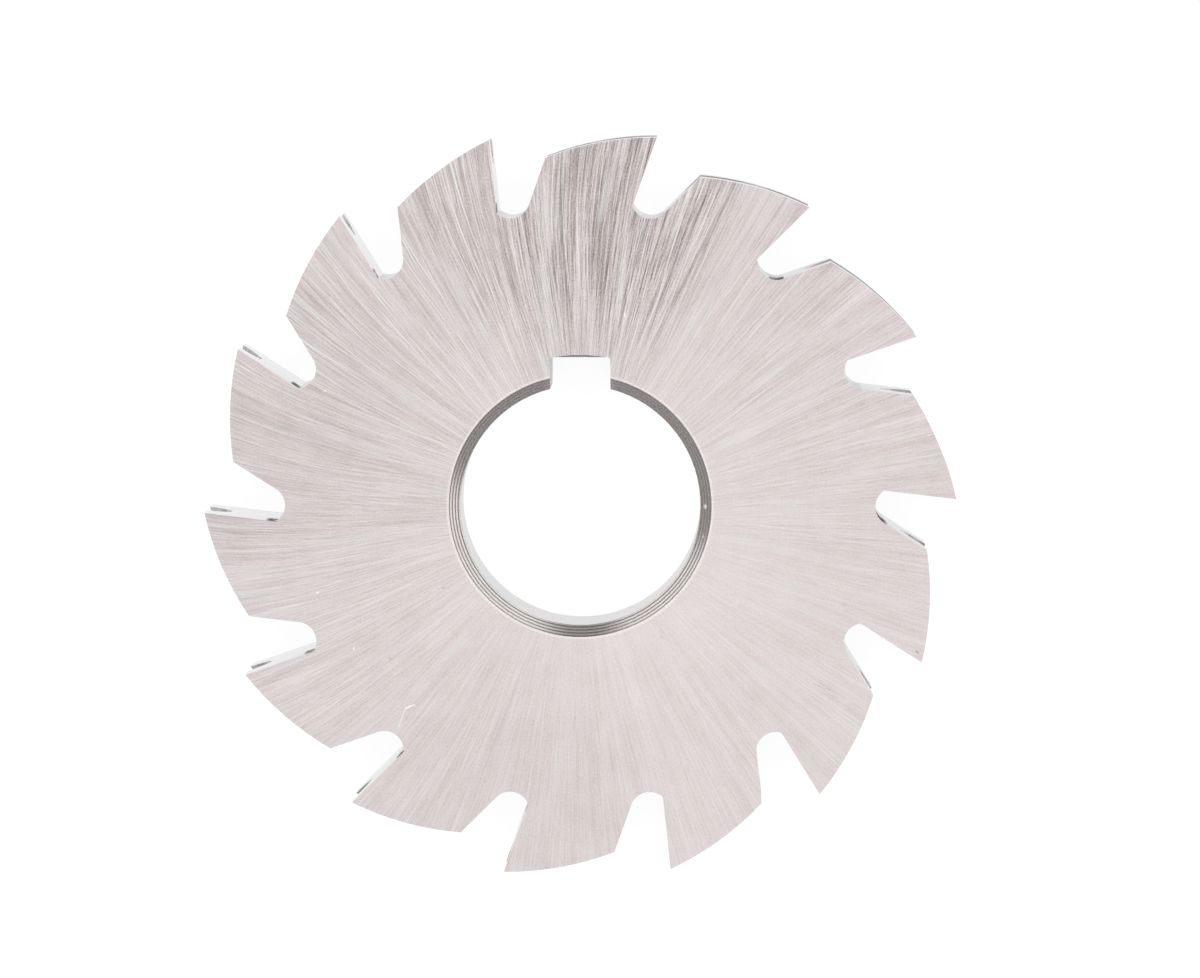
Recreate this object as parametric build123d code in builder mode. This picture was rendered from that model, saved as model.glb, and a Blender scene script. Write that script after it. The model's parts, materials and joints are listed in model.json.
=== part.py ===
from build123d import *
from math import acos, asin, degrees, radians, sin
import os

# Concave milling cutter: a flat ground steel disc on a keyed bore, whose teeth carry a half-round groove
# that mills a round bead along an edge. Each tooth is form-relieved: its land falls from the cutting edge
# to the heel and the groove sinks with it, so that grinding the rake face keeps the profile true.
# The disc lies on one side face with the bore axis up and centred. The keyway stands at +Y, and seen from
# above the teeth cut clockwise. Sizes are in millimetres and angles in degrees.

# Disc
cutter_diameter = 50.0
cutter_width = 8.0
profile_radius = 1.6

# Teeth
tooth_count = 14
key_to_edge_angle = 11.67
rake_angle = 7.9
relief_fall = 2.6
land_radius = 20.0

# Gullets
gullet_angle = 8.3
gullet_depth = 5.38
gullet_nose_radius = 1.3
rake_foot_rise = 0.6

# Bore and keyway
bore_diameter = 16.0
bore_chamfer = 0.75
key_width = 4.0
key_depth = 1.9
key_corner_radius = 0.2
key_floor_break = 0.16

# Stock on the blank outside the cutting edges, which is also how far each cut runs past the blank
stock = 1.0


def polar(radius, angle):
    """Point at a radius from the bore axis and an angle from +X."""
    return Vector(radius, 0).rotate(Axis.Z, angle)


def corner_angle(side_a, side_b, opposite):
    """Angle between two sides of a triangle, from its three sides."""
    return degrees(acos((side_a**2 + side_b**2 - opposite**2) / (2 * side_a * side_b)))


# Layout of one tooth, with its cutting edge on the X axis and its body turning away towards +Y
edge_radius = cutter_diameter / 2
bore_radius = bore_diameter / 2
blank_radius = edge_radius + stock
tooth_pitch = 360 / tooth_count
land_angle = tooth_pitch - gullet_angle
heel_radius = edge_radius - relief_fall * land_angle / tooth_pitch
cutting_edge = polar(edge_radius, 0)
heel = polar(heel_radius, land_angle)

# The flat rake face leans into the tooth from the cutting edge and ends a little above the gullet's floor
floor_radius = edge_radius - gullet_depth
foot_radius = floor_radius + rake_foot_rise
foot_angle = degrees(asin(edge_radius * sin(radians(rake_angle)) / foot_radius)) - rake_angle
rake_foot = polar(foot_radius, foot_angle)
rake_direction = (cutting_edge - rake_foot).normalized()

# Relief cut of one land: the form tool's outline stands in the rake face, where its ridge is a true
# half-round, and swings about a centre off the bore axis until it clears the heel
land = RadiusArc(cutting_edge, heel, -land_radius)
relief_centre = land.arc_center
swing_end = polar(edge_radius, tooth_pitch - gullet_angle / 4)
relief_swing = (cutting_edge - relief_centre).get_angle(swing_end - relief_centre)
rake_plane = Plane(origin=cutting_edge, x_dir=rake_direction, z_dir=rake_direction.cross(Vector(0, 0, 1)))
tool_depth = 2 * (relief_fall + stock)

with BuildPart() as relief_cut:
    with BuildSketch(rake_plane):
        with Locations((0, cutter_width / 2)):
            Rectangle(tool_depth, cutter_width + 2 * stock, align=(Align.MIN, Align.CENTER))
            Circle(profile_radius)
    revolve(axis=Axis(relief_centre, (0, 0, 1)), revolution_arc=relief_swing)

# Gullet cut ahead of the cutting edge: the rake face, a round nose along the floor, and a straight flank
# that leaves the nose for the heel of the tooth ahead
nose_orbit = floor_radius + gullet_nose_radius
nose_angle = foot_angle - corner_angle(foot_radius, nose_orbit, gullet_nose_radius)
nose_centre = polar(nose_orbit, nose_angle)
heel_ahead = polar(heel_radius, -gullet_angle)
heel_spoke = heel_ahead - nose_centre
contact_angle = degrees(acos(gullet_nose_radius / heel_spoke.length))
flank_foot = nose_centre + heel_spoke.normalized().rotate(Axis.Z, -contact_angle) * gullet_nose_radius
flank_direction = (heel_ahead - flank_foot).normalized()
rake_top = cutting_edge + rake_direction * 2 * stock
flank_top = heel_ahead + flank_direction * (relief_fall + 2 * stock)

with BuildPart() as gullet_cut:
    with BuildSketch():
        with BuildLine():
            Line(rake_top, rake_foot)
            RadiusArc(rake_foot, flank_foot, -gullet_nose_radius)
            Polyline(flank_foot, flank_top, rake_top)
        make_face()
    extrude(amount=cutter_width)

# Break of the keyway's floor at both faces: a sector of a cone about the bore axis, which takes only a
# crescent off the flat floor and leaves the keyway's corners alone
keyway_floor = bore_radius + key_depth
break_radius = keyway_floor + key_floor_break
break_angle = 2 * degrees(asin((key_width / 2 - key_corner_radius) / break_radius))

with BuildPart() as floor_break_cut:
    with Locations((0, 0, cutter_width)):
        Cone(
            bottom_radius=keyway_floor,
            top_radius=break_radius,
            height=key_floor_break,
            arc_size=break_angle,
            rotation=(0, 0, 90 - break_angle / 2),
            align=(Align.NONE, Align.NONE, Align.MAX),
        )
    mirror(about=Plane.XY.offset(cutter_width / 2))

# Cutter: the blank with its lands and gullets cut all round, then the bore and the keyway
with BuildPart() as concave_cutter:
    with BuildSketch():
        Circle(blank_radius)
    extrude(amount=cutter_width)
    with PolarLocations(0, tooth_count, start_angle=90 - key_to_edge_angle):
        add(relief_cut.part, mode=Mode.SUBTRACT)
        add(gullet_cut.part, mode=Mode.SUBTRACT)

    Hole(bore_radius)
    bore_rims = concave_cutter.edges(Select.LAST).filter_by(GeomType.CIRCLE)
    chamfer(bore_rims, bore_chamfer)

    with BuildSketch() as keyway:
        Rectangle(key_width, keyway_floor, align=(Align.CENTER, Align.MIN))
        fillet(keyway.vertices().group_by(Axis.Y)[-1], key_corner_radius)
    extrude(amount=cutter_width, mode=Mode.SUBTRACT)
    add(floor_break_cut.part, mode=Mode.SUBTRACT)

concave_cutter.part.label = "concave_cutter"
os.makedirs("parts", exist_ok=True)
export_step(concave_cutter.part, "parts/concave_cutter.step")
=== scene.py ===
import json
import math

import bmesh
import bpy
from mathutils import Matrix, Vector


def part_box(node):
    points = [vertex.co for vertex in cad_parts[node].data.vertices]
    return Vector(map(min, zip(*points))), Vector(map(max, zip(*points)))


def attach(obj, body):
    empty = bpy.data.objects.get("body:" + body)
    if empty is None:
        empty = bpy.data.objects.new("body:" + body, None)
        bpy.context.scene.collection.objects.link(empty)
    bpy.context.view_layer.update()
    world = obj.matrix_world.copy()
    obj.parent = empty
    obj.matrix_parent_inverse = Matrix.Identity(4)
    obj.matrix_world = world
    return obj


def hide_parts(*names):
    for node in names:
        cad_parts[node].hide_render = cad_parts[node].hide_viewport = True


# Concave milling cutter, lying on a white floor and photographed from above. Lengths are in metres, and
# the materials' patterns are worked out in millimetres.
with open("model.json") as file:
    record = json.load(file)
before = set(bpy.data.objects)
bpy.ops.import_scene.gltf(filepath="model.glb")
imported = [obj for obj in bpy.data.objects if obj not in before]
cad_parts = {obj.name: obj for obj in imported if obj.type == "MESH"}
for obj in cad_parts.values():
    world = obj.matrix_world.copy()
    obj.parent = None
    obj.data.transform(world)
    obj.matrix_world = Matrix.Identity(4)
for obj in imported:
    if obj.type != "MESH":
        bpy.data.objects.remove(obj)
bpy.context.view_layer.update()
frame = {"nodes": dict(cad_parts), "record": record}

# Sizes read from the frame, in millimetres: the disc's thickness, the bore, its chamfer and the keyway
low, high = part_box("concave_cutter")
mounts = {mount["name"]: mount for mount in frame["record"]["mounts"]}
THICKNESS = (high.z - low.z) * 1000
MIDDLE = THICKNESS / 2
BORE = mounts["bore"]["dims"]["r_mm"]
CHAMFER = (THICKNESS - mounts["bore"]["dims"]["length_mm"]) / 2
CHAMFER_RIM = BORE + CHAMFER
KEYWAY_FLOOR = mounts["keyway"]["pos_m"][1] * 1000

# Camera at the photograph's place above the upper face, from a fit to the outline of the teeth and bore
CAMERA_PLACE = (0.0089884, 0.0360243, high.z + 0.4862165)
CAMERA_TURN = Vector((0.0716, -0.0158, -0.0019))
FOCAL_PIXELS = 7337.9
PHOTO_PIXELS = 1200
SENSOR_WIDTH = 36.0

# Floor: half its width, its drop below the cutter, its colour for light, and its colour and glow where it
# is seen
FLOOR_HALF = 3.0
FLOOR_DROP = 0.00002
FLOOR_GREY = (0.8, 0.8, 0.8, 1)
FLOOR_SEEN = (0.22, 0.22, 0.22, 1)
FLOOR_GLOW = 0.88

# Studio: walls, overhead light and pale screens, which each have an azimuth in degrees and the cosines at
# which they start and are full
WALL = (0.24, 0.24, 0.24, 1)
OVERHEAD = (1.04, 1.04, 1.04, 1)
SCREEN = (1.0, 1.0, 0.99, 1)
SCREENS = ((30, 0.55, 0.80), (138, 0.80, 0.93))

# Radii and a height in millimetres that tell the cutter's faces apart, from the bore outwards
BORE_LIMIT = BORE + 0.02
KEYWAY_LIMIT = KEYWAY_FLOOR + 0.5
GULLET_TOP = 20.9
GROOVE_HALF_WIDTH = 1.61

# Turned rings on the chamfers: their number, their depth in millimetres, the rows of faces that carry
# them, and how near to a rim, in millimetres, a vertex belongs to it
RINGS = 4
RING_DEPTH = 0.010
RING_ROWS = 28
RIM_TOLERANCE = 0.002

# Mesh: the distance in metres at which vertices are welded, the angle in radians under which faces are
# one flat face, the width of the edges' break in metres, and the degrees from which an edge is sharp
WELD_DISTANCE = 1e-7
FLAT_ANGLE = 0.003
EDGE_BREAK = 0.00004
SHARP_ANGLE = 35

# Grinding strokes: the point that they fan out from, in millimetres, and the bow that they have on one
# side of the bore, whose lean along the spoke is nil at one radius. The two side faces' patterns differ
# by a shift for each millimetre of height.
GRIND_CENTRE = (0, -0.55, 0)
BOW = 0.0003
BOW_RADIUS = 13.8
BOW_SIDE = (-0.94, 0.342, 0)
PATTERN_SHIFT = 1.9

# Ways from the bore: the middles of the darker fan and of its paler skirt, the far side, the upper left,
# and the ways in which the face is a shade duller. In millimetres, the fan is full from its radius
# outwards, and the brighter zone round the bore ends at the inner radius.
FAN = (0.087, 0.996, 0)
FAN_SKIRT = (-0.035, 0.999, 0)
FAR_SIDE = (0.45, -0.89, 0)
UPPER_LEFT = (-0.707, 0.707, 0)
DULL_WAYS = ((-0.97, 0.26, 0), (-0.26, -0.97, 0))
FAN_RADIUS = 15
INNER_RADIUS = 18

# Colours of bare steel, of the glints and the haze on the side faces, and of the dust, painted shade and
# dark marks on the metal
STEEL = (0.70, 0.64, 0.63, 1)
GLINT = (0.88, 0.90, 0.87, 1)
HAZE = (0.74, 0.745, 0.725, 1)
DUST_GREY = (0.9, 0.9, 0.9, 1)
NOSE_SHADE_BLACK = (0.035, 0.033, 0.032, 1)
LIP_BROWN = (0.12, 0.095, 0.08, 1)
SPOT_BROWN = (0.06, 0.055, 0.05, 1)

# The direction of height, and what keeps a vector's part in the plane of the disc
UP = (0, 0, 1)
IN_PLANE = (1, 1, 0)

# Knocks and scratches on the upper face: two ends and a half width in millimetres, and lightness added
FACE_MARKS = (
    ((-11.03, -13.30), (-11.58, -13.52), 0.055, 0.45),
    ((-11.62, -13.57), (-12.08, -14.79), 0.030, 0.40),
    ((-17.43, -5.80), (-17.50, -5.86), 0.055, 0.45),
    ((-15.05, -9.50), (-15.06, -9.64), 0.050, 0.35),
    ((2.98, 12.60), (2.94, 12.84), 0.050, 0.40),
    ((-12.68, -10.19), (-12.60, -10.25), 0.060, -0.20),
    ((-9.07, -5.45), (-9.16, -5.50), 0.050, -0.22),
    ((15.60, -11.86), (16.66, -12.23), 0.035, -0.16),
    ((22.36, -9.60), (22.50, -9.70), 0.070, -0.24),
    ((-16.94, 7.60), (-16.95, 7.66), 0.050, 0.40),
    ((5.42, -8.74), (5.46, -8.70), 0.050, -0.20),
    ((17.54, -6.57), (17.60, -6.52), 0.100, -0.12),
    ((9.52, -2.97), (11.78, -3.63), 0.035, 0.08),
    ((11.78, -3.63), (12.84, -3.49), 0.035, 0.08),
    ((-0.31, -14.08), (-0.29, -14.24), 0.035, -0.14),
)

# Specks of dust on the upper chamfer, the same way, with their strength in place of the lightness
DUST = (
    ((8.26, -0.02), (8.27, -0.06), 0.140, 1.0),
    ((8.25, -2.04), (8.25, -2.08), 0.110, 0.5),
    ((0.20, -8.62), (0.26, -8.70), 0.120, 0.6),
)

# Painted shade in two gullets' noses, as dark matt strokes listed the same way. It lies near the upper
# face and fades out between two heights.
NOSE_SHADE_STROKES = (
    ((19.62, -0.20), (20.25, -0.80), 0.36, 1.0),
    ((12.70, 15.26), (13.30, 15.12), 0.18, 0.80),
)
NOSE_SHADE_FADE = (THICKNESS - 4.5, THICKNESS - 2.5)


class Graph:
    """Short calls that add nodes and return their output, for any mix of sockets and plain values."""

    def __init__(self, tree):
        self.tree = tree
        tree.nodes.clear()

    def node(self, kind, inputs=(), **settings):
        node = self.tree.nodes.new(kind)
        for name, value in settings.items():
            setattr(node, name, value)
        for key, value in dict(inputs).items():
            if value is not None:
                self.plug(value, node.inputs[key])
        return node

    def plug(self, value, socket):
        if isinstance(value, bpy.types.NodeSocket):
            self.tree.links.new(value, socket)
        else:
            socket.default_value = value

    def math(self, operation, a, b=None, clamp=False):
        return self.node("ShaderNodeMath", {0: a, 1: b}, operation=operation, use_clamp=clamp).outputs[0]

    def line(self, value, slope, start=0.0, clamp=False):
        """The value times the slope, plus the start."""
        inputs = {0: value, 1: slope, 2: start}
        return self.node("ShaderNodeMath", inputs, operation="MULTIPLY_ADD", use_clamp=clamp).outputs[0]

    def product(self, first, *others):
        for other in others:
            first = self.math("MULTIPLY", first, other)
        return first

    def total(self, terms):
        """Sum of the values, each times its weight."""
        result = 0.0
        for value, weight in terms:
            result = self.line(value, weight, result)
        return result

    def band(self, value, start, end, low=0.0, high=1.0):
        """Smooth step from low to high as the value goes from start to end."""
        inputs = {"Value": value, "From Min": start, "From Max": end, "To Min": low, "To Max": high}
        return self.node("ShaderNodeMapRange", inputs, interpolation_type="SMOOTHSTEP").outputs[0]

    def vector(self, operation, a, b=None, scale=None):
        inputs = {0: a, "Scale": scale} if b is None else {0: a, 1: b}
        node = self.node("ShaderNodeVectorMath", inputs, operation=operation)
        return node.outputs["Value" if operation in ("LENGTH", "DOT_PRODUCT") else "Vector"]

    def noise(self, vector, scale=1.0, detail=2.0, roughness=0.5):
        inputs = {"Vector": vector, "Scale": scale, "Detail": detail, "Roughness": roughness}
        return self.node("ShaderNodeTexNoise", inputs).outputs["Fac"]

    def centred(self, noise):
        """The noise less its middle value."""
        return self.line(noise, 1, -0.5)

    def colours(self, value, *stops):
        """Colour ramp with a stop for each (position, colour)."""
        ramp = self.node("ShaderNodeValToRGB", {"Fac": value})
        elements = ramp.color_ramp.elements
        while len(elements) < len(stops):
            elements.new(0.5)
        for element, (position, colour) in zip(elements, stops):
            element.position = position
            element.color = colour
        return ramp.outputs["Color"]

    def mix(self, factor, a, b):
        """Colour between a and b."""
        return self.node("ShaderNodeMix", {"Factor": factor, 6: a, 7: b}, data_type="RGBA").outputs[2]

    def place(self):
        """Place on the object in millimetres."""
        coordinates = self.node("ShaderNodeTexCoord").outputs["Object"]
        return self.vector("SCALE", coordinates, scale=1000)

    def height(self, place):
        return self.vector("DOT_PRODUCT", place, UP)

    def polar(self, place):
        """Radius of a place about the bore's axis, and the directions along and across its spoke."""
        flat = self.vector("MULTIPLY", place, IN_PLANE)
        spoke = self.vector("NORMALIZE", flat)
        return self.vector("LENGTH", flat), spoke, self.vector("CROSS_PRODUCT", UP, spoke)

    def stroke(self, place, start, end, half_width):
        """Mask of a short straight stroke between two places, with soft sides."""
        start, end = Vector(start), Vector(end)
        run = end - start
        along = self.vector("DOT_PRODUCT", self.vector("SUBTRACT", place, start), run)
        share = self.line(along, 1 / run.length_squared, clamp=True)
        nearest = self.vector("ADD", self.vector("SCALE", run, scale=share), start)
        distance = self.vector("LENGTH", self.vector("SUBTRACT", place, nearest))
        return self.band(distance, 1.5 * half_width, 0.5 * half_width)

    def marked(self, place, height, marks, level=0.0):
        """The level with marks added, which stand at a height of the object."""
        for start, end, half_width, strength in marks:
            mark = self.stroke(place, (*start, height), (*end, height), half_width)
            level = self.line(mark, strength, level)
        return level


def steel(name):
    """Bare steel material with its graph and shader, for the finishes below to fill in."""
    material = bpy.data.materials.new(name)
    material.use_nodes = True
    g = Graph(material.node_tree)
    shader = g.node("ShaderNodeBsdfPrincipled", {"Metallic": 1.0, "Base Color": STEEL, "Roughness": 0.3})
    g.node("ShaderNodeOutputMaterial", {"Surface": shader.outputs[0]})
    return material, g, shader


def finish(g, shader, colour, roughness, relief, depth, tangent=None, dirt_and_shade=None):
    """Plug a finish into the shader, with its relief's depth in millimetres. Dirt and shade is a mask and a
    colour, and covers the metal with a matt colour: dust, painted shade and dark marks."""
    if dirt_and_shade:
        mask, dirt_and_shade_colour = dirt_and_shade
        colour = g.mix(mask, colour, dirt_and_shade_colour)
        roughness = g.line(mask, 0.5, roughness)
        g.plug(g.line(mask, -1, 1), shader.inputs["Metallic"])
    bump = g.node("ShaderNodeBump", {"Height": relief, "Strength": 1.0, "Distance": depth / 1000})
    g.plug(colour, shader.inputs["Base Color"])
    g.plug(roughness, shader.inputs["Roughness"])
    g.plug(bump.outputs[0], shader.inputs["Normal"])
    if tangent:
        g.plug(tangent, shader.inputs["Tangent"])


def grinding(g, place, polar):
    """Function that makes one layer of the grinding, as noise drawn out along its strokes."""
    radius, spoke, around = polar
    from_centre = g.vector("SUBTRACT", g.vector("MULTIPLY", place, IN_PLANE), GRIND_CENTRE)
    past_bow = g.line(radius, 1, -BOW_RADIUS)
    bow = g.product(past_bow, past_bow, g.line(radius, BOW))
    bow = g.product(bow, g.band(g.vector("DOT_PRODUCT", spoke, BOW_SIDE), -0.1, 0.4))
    side = g.line(g.height(place), PATTERN_SHIFT)

    def layer(offset, fineness, length, shift, detail=1.0):
        """Strokes that pass their centre at an offset, from a place of their own in the noise."""
        swerve = g.vector("SCALE", around, scale=g.line(bow, 1, offset))
        aim = g.vector("NORMALIZE", g.vector("ADD", from_centre, swerve))
        along = g.node("ShaderNodeCombineXYZ", {0: shift, 2: g.line(radius, 1 / length, side)}).outputs[0]
        return g.noise(g.vector("ADD", g.vector("SCALE", aim, scale=fineness), along), detail=detail)

    return layer


def ground_face():
    """Side faces, ground in long strokes that fan out from near the bore's axis. The strokes are stronger
    and the face darker in a fan from the rim down to the keyway, and the face is brighter near the bore. On
    the far side the strokes are calmer, and painted light makes the face a shade lighter."""
    material, g, shader = steel("ground_face")
    shader.inputs["Anisotropic"].default_value = 0.75
    place = g.place()
    polar = g.polar(place)
    radius, spoke, around = polar
    layer = grinding(g, place, polar)

    def towards(way, start, end):
        """Mask of the spokes near a way, from the cosines at which it starts and is full."""
        return g.band(g.vector("DOT_PRODUCT", spoke, way), start, end)

    fan = g.total(((towards(FAN, 0.912, 0.962), 0.6), (towards(FAN_SKIRT, 0.862, 0.915), 0.4)))
    fan = g.product(fan, g.band(radius, BORE, FAN_RADIUS, 0.35, 1.0))
    far_side = g.vector("DOT_PRODUCT", spoke, FAR_SIDE)
    calm = g.band(far_side, -0.1, 0.8, 1.0, 0.6)

    # Fine and broad strokes, dark cuts, uneven patches and a fine grain make up the level of lightness
    lines = g.centred(g.total((
        (layer(offset=0.0, fineness=230, length=7.0, shift=3.1, detail=2), 0.42),
        (layer(offset=0.8, fineness=180, length=10.0, shift=7.7, detail=2), 0.36),
        (layer(offset=-0.4, fineness=240, length=0.9, shift=5.9), 0.22),
    )))
    broad = g.centred(layer(offset=-0.5, fineness=44, length=12.0, shift=1.3, detail=2))
    fine = g.product(lines, g.line(fan, 1.3, 1.0))
    coarse = g.product(broad, g.line(fan, 0.60, 0.22))
    cuts = g.band(layer(offset=-0.8, fineness=190, length=7, shift=2.4), 0.58, 0.72)
    grain = g.centred(g.noise(place, scale=7.5, detail=1))
    level = g.total((
        (g.product(fine, calm), 1),
        (g.product(coarse, calm), 1),
        (g.product(grain, g.line(fan, 0.20, 0.25)), 1),
        (g.centred(g.noise(place, scale=0.5, detail=3, roughness=0.65)), 0.16),
        (g.product(cuts, g.line(fan, 0.65, 0.08)), -0.15),
        (fan, -0.14),
        # Painted light: the face a shade lighter towards the far side
        (far_side, 0.04),
        (g.band(radius, INNER_RADIUS, BORE + 1), 0.05),
        # Painted highlight: a bright line on the face just outside the chamfer's rim
        (g.band(radius, CHAMFER_RIM + 0.18, CHAMFER_RIM + 0.08), 0.20),
        *((towards(way, 0.88, 0.99), -0.04) for way in DULL_WAYS),
    ))
    level = g.marked(place, THICKNESS, FACE_MARKS, g.line(level, 1, 0.54))
    colour = g.colours(
        level,
        (0.0, (0.24, 0.196, 0.193, 1)),
        (0.55, (0.70, 0.636, 0.626, 1)),
        (0.75, (0.83, 0.767, 0.757, 1)),
        (1.0, (0.96, 0.95, 0.93, 1)),
    )

    # A haze of wide bands lies over it, and then the glints, which are whiter than the metal
    haze = g.band(layer(offset=0.3, fineness=12, length=9, shift=2.2, detail=2), 0.50, 0.72)
    colour = g.mix(g.product(haze, 0.28), colour, HAZE)
    glints = g.math(
        "MAXIMUM",
        g.band(layer(offset=1.2, fineness=200, length=12, shift=9.2), 0.60, 0.72),
        g.band(layer(offset=-0.7, fineness=240, length=9, shift=6.4), 0.61, 0.72),
    )
    strength = g.total(((fan, 0.30), (towards(UPPER_LEFT, 0.80, 0.97), 0.38), (calm, 0.34)))
    colour = g.mix(g.math("MULTIPLY", strength, glints, clamp=True), colour, GLINT)
    finish(g, shader, colour, g.line(lines, 0.3, 0.32), lines, 0.002, around)
    return material


def turned_chamfer():
    """Chamfers of the bore, with painted shade that darkens the troughs of the rings."""
    material, g, shader = steel("turned_chamfer")
    place = g.place()
    radius, _, around = g.polar(place)
    turns = 2 * math.pi * RINGS / CHAMFER
    # Painted shade: the colour darkens towards the troughs of the rings
    trough = g.line(g.math("COSINE", g.line(radius, turns, -BORE * turns)), -0.5, 0.5)
    grain = g.noise(place, scale=7, detail=2)
    colour = g.colours(
        g.total(((g.product(trough, trough), 0.35), (grain, 0.5))),
        (0.25, (0.86, 0.815, 0.80, 1)),
        (1.0, (0.32, 0.28, 0.272, 1)),
    )
    dust = g.marked(place, THICKNESS - CHAMFER / 2, DUST)
    finish(g, shader, colour, 0.2, grain, 0.003, around, dirt_and_shade=(dust, DUST_GREY))
    return material


def plain_ground(name, colours, lay, fineness, depth, roughness):
    """Small ground or milled faces, whose lines run where the lay stretches the noise most."""
    material, g, shader = steel(name)
    place = g.place()
    lines = g.noise(g.vector("MULTIPLY", place, lay), scale=fineness, detail=2, roughness=0.6)
    blotch = g.noise(place, scale=1.1, detail=2)
    value = g.total(((lines, 0.6), (blotch, 0.4)))
    colour = g.colours(value, (0.3, colours[0]), (0.7, colours[1]))
    # Painted shade: dark matt strokes in two gullets' noses, fading out below the upper face
    nose_shade = g.marked(g.vector("MULTIPLY", place, IN_PLANE), 0, NOSE_SHADE_STROKES)
    nose_shade = g.product(nose_shade, g.band(g.height(place), *NOSE_SHADE_FADE))
    finish(g, shader, colour, roughness, lines, depth, dirt_and_shade=(nose_shade, NOSE_SHADE_BLACK))
    return material


def form_groove():
    """Half-round grooves, dull along the cut, darker than the lands partly as painted shade in the hollow,
    and darker brown towards their lips.
    """
    material, g, shader = steel("form_groove")
    place = g.place()
    lines = g.noise(g.vector("MULTIPLY", place, (0.15, 0.15, 6)), scale=3, detail=2, roughness=0.6)
    from_middle = g.math("ABSOLUTE", g.line(g.height(place), 1, -MIDDLE))
    # Darker brown towards the lips of the groove, in uneven patches
    lip_darkening = g.product(g.band(from_middle, 0.9, 1.5), g.band(g.noise(place, scale=0.45), 0.2, 0.7), 0.5)
    # Partly painted shade: the groove's colour is darker than the lands'
    colour = g.colours(lines, (0.3, (0.50, 0.48, 0.47, 1)), (0.7, (0.70, 0.68, 0.67, 1)))
    finish(g, shader, colour, 0.35, lines, 0.004, dirt_and_shade=(lip_darkening, LIP_BROWN))
    return material


def ground_rake():
    """Rake faces, ground bright, with a dark matt spot in the corner at the rake's foot, near the upper
    face.
    """
    material, g, shader = steel("ground_rake")
    place = g.place()
    radius = g.polar(place)[0]
    lines = g.noise(g.vector("MULTIPLY", place, (0.15, 0.15, 4)), scale=2, detail=3, roughness=0.65)
    foot = g.band(radius, GULLET_TOP + 0.1, GULLET_TOP - 0.2)
    top = g.band(g.height(place), THICKNESS - 2.6, THICKNESS - 1.6)
    spot = g.product(foot, top, g.band(g.noise(place, scale=0.9), 0.35, 0.50), 0.85)
    colour = g.colours(lines, (0.3, (0.70, 0.69, 0.71, 1)), (0.7, (0.84, 0.83, 0.85, 1)))
    finish(g, shader, colour, 0.2, lines, 0.002, dirt_and_shade=(spot, SPOT_BROWN))
    return material


def make_materials():
    """Finishes of the cutter's faces, in the order of its material slots."""
    pale, bright, dull, dark = ((tone, tone * 0.985, tone * 0.975, 1) for tone in (0.66, 0.84, 0.52, 0.34))
    white = (0.94, 0.94, 0.93, 1)
    return (
        ground_face(),
        turned_chamfer(),
        plain_ground("ground_bore", (dull, pale), (0.15, 0.15, 6), 2.0, 0.002, 0.22),
        plain_ground("broached_keyway", (dark, dull), (6, 6, 0.15), 1.0, 0.003, 0.3),
        ground_rake(),
        plain_ground("relieved_land", (pale, bright), (0.15, 0.15, 9), 2.0, 0.002, 0.25),
        plain_ground("milled_flank", (pale, bright), (0.5, 0.5, 6), 2.0, 0.003, 0.25),
        plain_ground("gullet_nose", (dull, bright), (1, 1, 0.2), 1.5, 0.003, 0.3),
        form_groove(),
        plain_ground("broken_edge", (bright, white), (1, 1, 1), 2.0, 0.001, 0.2),
    )


def region(face):
    """Finish of a face, from where it lies and where it looks. Its tilt is one on the side faces, about 0.7
    on the chamfers and nil on the walls."""
    centre = face.calc_center_median() * 1000
    radius = math.hypot(centre.x, centre.y)
    spoke = Vector((centre.x, centre.y, 0)).normalized()
    outwards = face.normal.dot(spoke)
    around = face.normal.dot(Vector(UP).cross(spoke))
    tilt = abs(face.normal.z)
    if tilt > 0.999:
        return "ground_face"
    if radius < CHAMFER_RIM and tilt > 0.5:
        return "turned_chamfer"
    if radius < BORE_LIMIT:
        return "ground_bore"
    if radius < KEYWAY_LIMIT:
        return "gullet_nose" if tilt > 0.5 else "broached_keyway"
    if radius < GULLET_TOP:
        return "gullet_nose"
    if tilt > 0.01:
        return "form_groove"
    if outwards > 0.75:
        return "form_groove" if abs(centre.z - MIDDLE) < GROOVE_HALF_WIDTH else "relieved_land"
    return "ground_rake" if around < -0.85 else "milled_flank"


def clock(vert):
    """Angle of a vertex about the bore, clockwise from the keyway."""
    return math.atan2(vert.co.x, vert.co.y) % (2 * math.pi)


def rim(mesh, radius, height):
    """Vertices on a circle about the bore's axis, clockwise from the keyway."""
    found = [
        vert for vert in mesh.verts
        if abs(math.hypot(vert.co.x, vert.co.y) * 1000 - radius) < RIM_TOLERANCE
        and abs(vert.co.z * 1000 - height) < RIM_TOLERANCE
    ]
    return sorted(found, key=clock)


def ring_point(radius, angle, side):
    """Place on a chamfer with its rings, above or below the middle plane as the side is 1 or -1."""
    share = (radius - BORE) / CHAMFER
    trough = (0.5 - 0.5 * math.cos(2 * math.pi * RINGS * share)) ** 2
    height = MIDDLE - CHAMFER * (1 - share) - trough * RING_DEPTH * math.sqrt(2)
    return Vector((radius * math.sin(angle), radius * math.cos(angle), MIDDLE + side * height)) / 1000


def stitch(mesh, nearer, farther):
    """Triangles between two rows of vertices that each have their own spacing."""
    here = there = 0
    while here < len(nearer) - 1 or there < len(farther) - 1:
        next_here = clock(nearer[here + 1]) if here < len(nearer) - 1 else math.inf
        next_there = clock(farther[there + 1]) if there < len(farther) - 1 else math.inf
        if next_here < next_there:
            mesh.faces.new((nearer[here], nearer[here + 1], farther[there]))
            here += 1
        else:
            mesh.faces.new((nearer[here], farther[there + 1], farther[there]))
            there += 1


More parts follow.
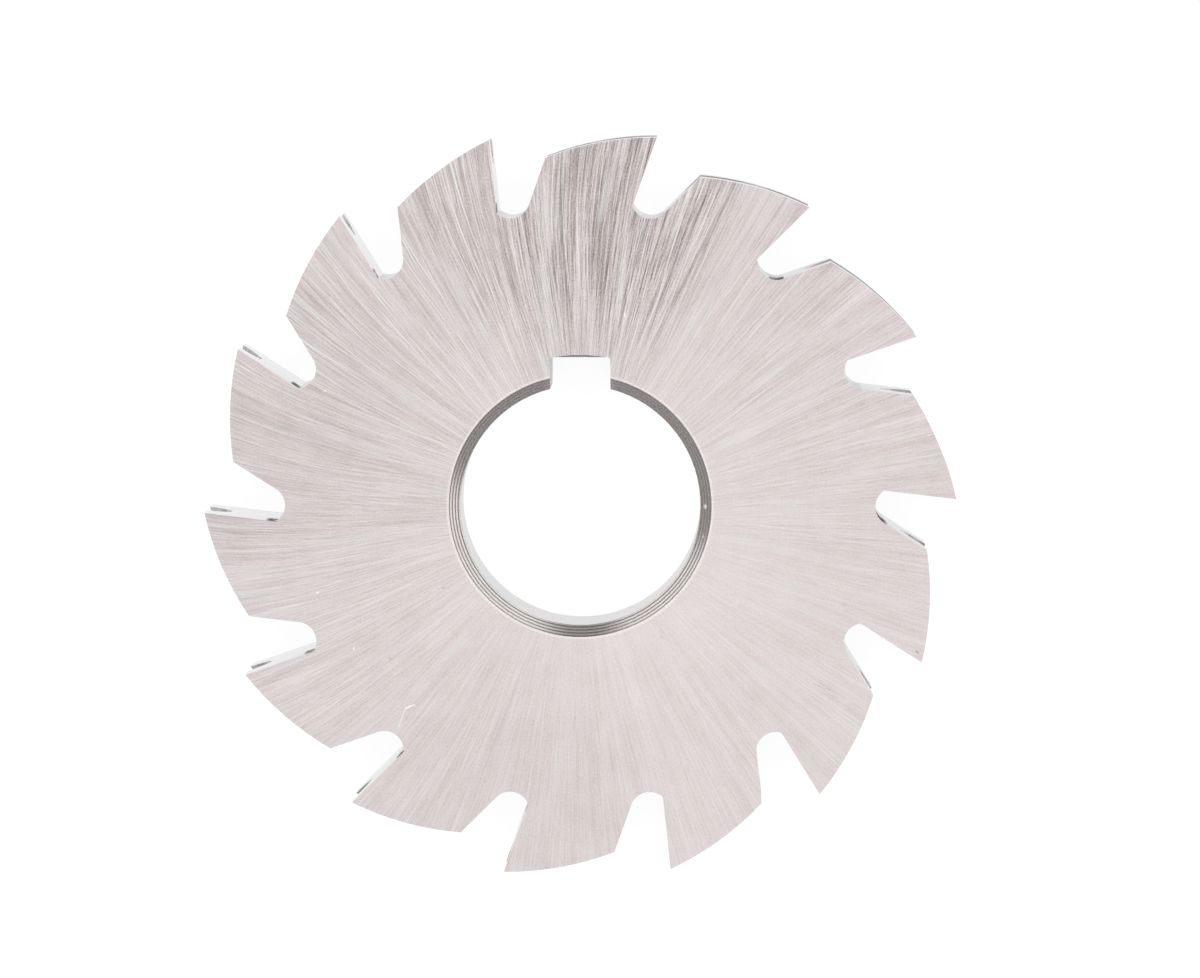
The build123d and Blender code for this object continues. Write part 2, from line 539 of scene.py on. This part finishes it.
def turn_rings(mesh, side):
    """Rebuild one chamfer of the bore as rows of faces that carry the rings, between its own two rims."""
    inner = rim(mesh, BORE, MIDDLE + side * (MIDDLE - CHAMFER))
    outer = rim(mesh, CHAMFER_RIM, MIDDLE + side * MIDDLE)
    key_half = outer[0].co.x * 1000
    columns = [clock(vert) for vert in outer[1:-1]]
    rows = []
    for row in range(1, RING_ROWS):
        radius = BORE + CHAMFER * row / RING_ROWS
        at_key = math.asin(key_half / radius)
        angles = [at_key, *columns, 2 * math.pi - at_key]
        rows.append([mesh.verts.new(ring_point(radius, angle, side)) for angle in angles])
    rows.append(outer)
    for nearer, farther in zip(rows, rows[1:]):
        for corners in zip(nearer, nearer[1:], farther[1:], farther):
            mesh.faces.new(corners)
    stitch(mesh, inner, rows[0])


def make_body():
    """The CAD solid's own mesh, welded, with turned chamfers."""
    mesh = bmesh.new()
    mesh.from_mesh(frame["nodes"]["concave_cutter"].data)
    bmesh.ops.remove_doubles(mesh, verts=mesh.verts, dist=WELD_DISTANCE)
    bmesh.ops.dissolve_limit(mesh, angle_limit=FLAT_ANGLE, verts=mesh.verts, edges=mesh.edges)
    mesh.normal_update()

    # The chamfers are made anew, and so are the keyway's sides, which share their ragged edge
    old = [
        face for face in mesh.faces
        if region(face) == "turned_chamfer"
        or region(face) == "broached_keyway" and abs(face.normal.x) > 0.999
    ]
    bmesh.ops.delete(mesh, geom=old, context="FACES")
    turn_rings(mesh, 1)
    turn_rings(mesh, -1)
    bmesh.ops.holes_fill(mesh, edges=[edge for edge in mesh.edges if edge.is_boundary], sides=0)
    bmesh.ops.recalc_face_normals(mesh, faces=mesh.faces)
    return mesh


def make_cutter():
    """Cutter with its finishes and broken edges, in place of the CAD node."""
    mesh = make_body()
    materials = make_materials()
    names = [material.name for material in materials]
    for face in mesh.faces:
        face.smooth = True
        face.material_index = names.index(region(face))
    data = bpy.data.meshes.new("cutter")
    mesh.to_mesh(data)
    mesh.free()
    for material in materials:
        data.materials.append(material)

    cutter = bpy.data.objects.new("cutter", data)
    bpy.context.scene.collection.objects.link(cutter)
    bevel = cutter.modifiers.new("edge break", "BEVEL")
    bevel.width = EDGE_BREAK
    bevel.segments = 2
    bevel.limit_method = "ANGLE"
    bevel.angle_limit = math.radians(SHARP_ANGLE)
    bevel.material = names.index("broken_edge")
    cutter.modifiers.new("flat faces stay flat", "WEIGHTED_NORMAL")

    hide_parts("concave_cutter")
    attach(cutter, "root")


def make_camera():
    """Camera whose axes come from the rotation vector that turns the frame into camera space."""
    data = bpy.data.cameras.new("camera")
    data.sensor_width = SENSOR_WIDTH
    data.lens = FOCAL_PIXELS / PHOTO_PIXELS * SENSOR_WIDTH
    data.clip_start = 0.05
    data.clip_end = 20
    camera = bpy.data.objects.new("camera", data)
    bpy.context.scene.collection.objects.link(camera)
    to_camera = Matrix.Rotation(CAMERA_TURN.length, 4, CAMERA_TURN.normalized())
    camera.matrix_world = Matrix.Translation(CAMERA_PLACE) @ to_camera.transposed()
    bpy.context.scene.camera = camera


def seen_ray(g):
    """One for rays that end in the camera, directly or off metal or through glass, and zero for light."""
    path = g.node("ShaderNodeLightPath").outputs
    seen = g.math("MAXIMUM", path["Is Camera Ray"], path["Is Glossy Ray"])
    return g.math("MAXIMUM", seen, path["Is Transmission Ray"])


def make_floor():
    """Floor that is white for the camera and in reflections, and keeps the cutter's shadow."""
    half = FLOOR_HALF
    mesh = bpy.data.meshes.new("floor")
    corners = [(-half, -half, 0), (half, -half, 0), (half, half, 0), (-half, half, 0)]
    mesh.from_pydata(corners, [], [(0, 1, 2, 3)])
    floor = bpy.data.objects.new("floor", mesh)
    floor.location.z = low.z - FLOOR_DROP
    bpy.context.scene.collection.objects.link(floor)

    material = bpy.data.materials.new("floor")
    material.use_nodes = True
    g = Graph(material.node_tree)
    lit = g.node("ShaderNodeBsdfDiffuse", {"Color": FLOOR_GREY}).outputs[0]
    shaded = g.node("ShaderNodeBsdfDiffuse", {"Color": FLOOR_SEEN}).outputs[0]
    glow = g.node("ShaderNodeEmission", {"Strength": FLOOR_GLOW}).outputs[0]
    white = g.node("ShaderNodeAddShader", {0: shaded, 1: glow}).outputs[0]
    surface = g.node("ShaderNodeMixShader", {0: seen_ray(g), 1: lit, 2: white}).outputs[0]
    g.node("ShaderNodeOutputMaterial", {"Surface": surface})
    mesh.materials.append(material)


def make_light():
    """Studio: white overhead, and grey walls with two pale screens."""
    world = bpy.data.worlds.new("studio")
    bpy.context.scene.world = world
    world.use_nodes = True
    g = Graph(world.node_tree)
    direction = g.node("ShaderNodeTexCoord").outputs["Generated"]
    screens = 0.0
    for azimuth, start, full in SCREENS:
        way = (math.cos(math.radians(azimuth)), math.sin(math.radians(azimuth)), 0)
        screen = g.band(g.vector("DOT_PRODUCT", direction, way), start, full)
        screens = g.math("MAXIMUM", screen, screens)
    colour = g.mix(g.band(g.height(direction), 0.1, 0.7), g.mix(screens, WALL, SCREEN), OVERHEAD)
    background = g.node("ShaderNodeBackground", {"Color": colour, "Strength": 1.0}).outputs[0]
    g.node("ShaderNodeOutputWorld", {"Surface": background})


make_camera()
make_floor()
make_light()
make_cutter()
bpy.context.scene.view_settings.view_transform = "Standard"
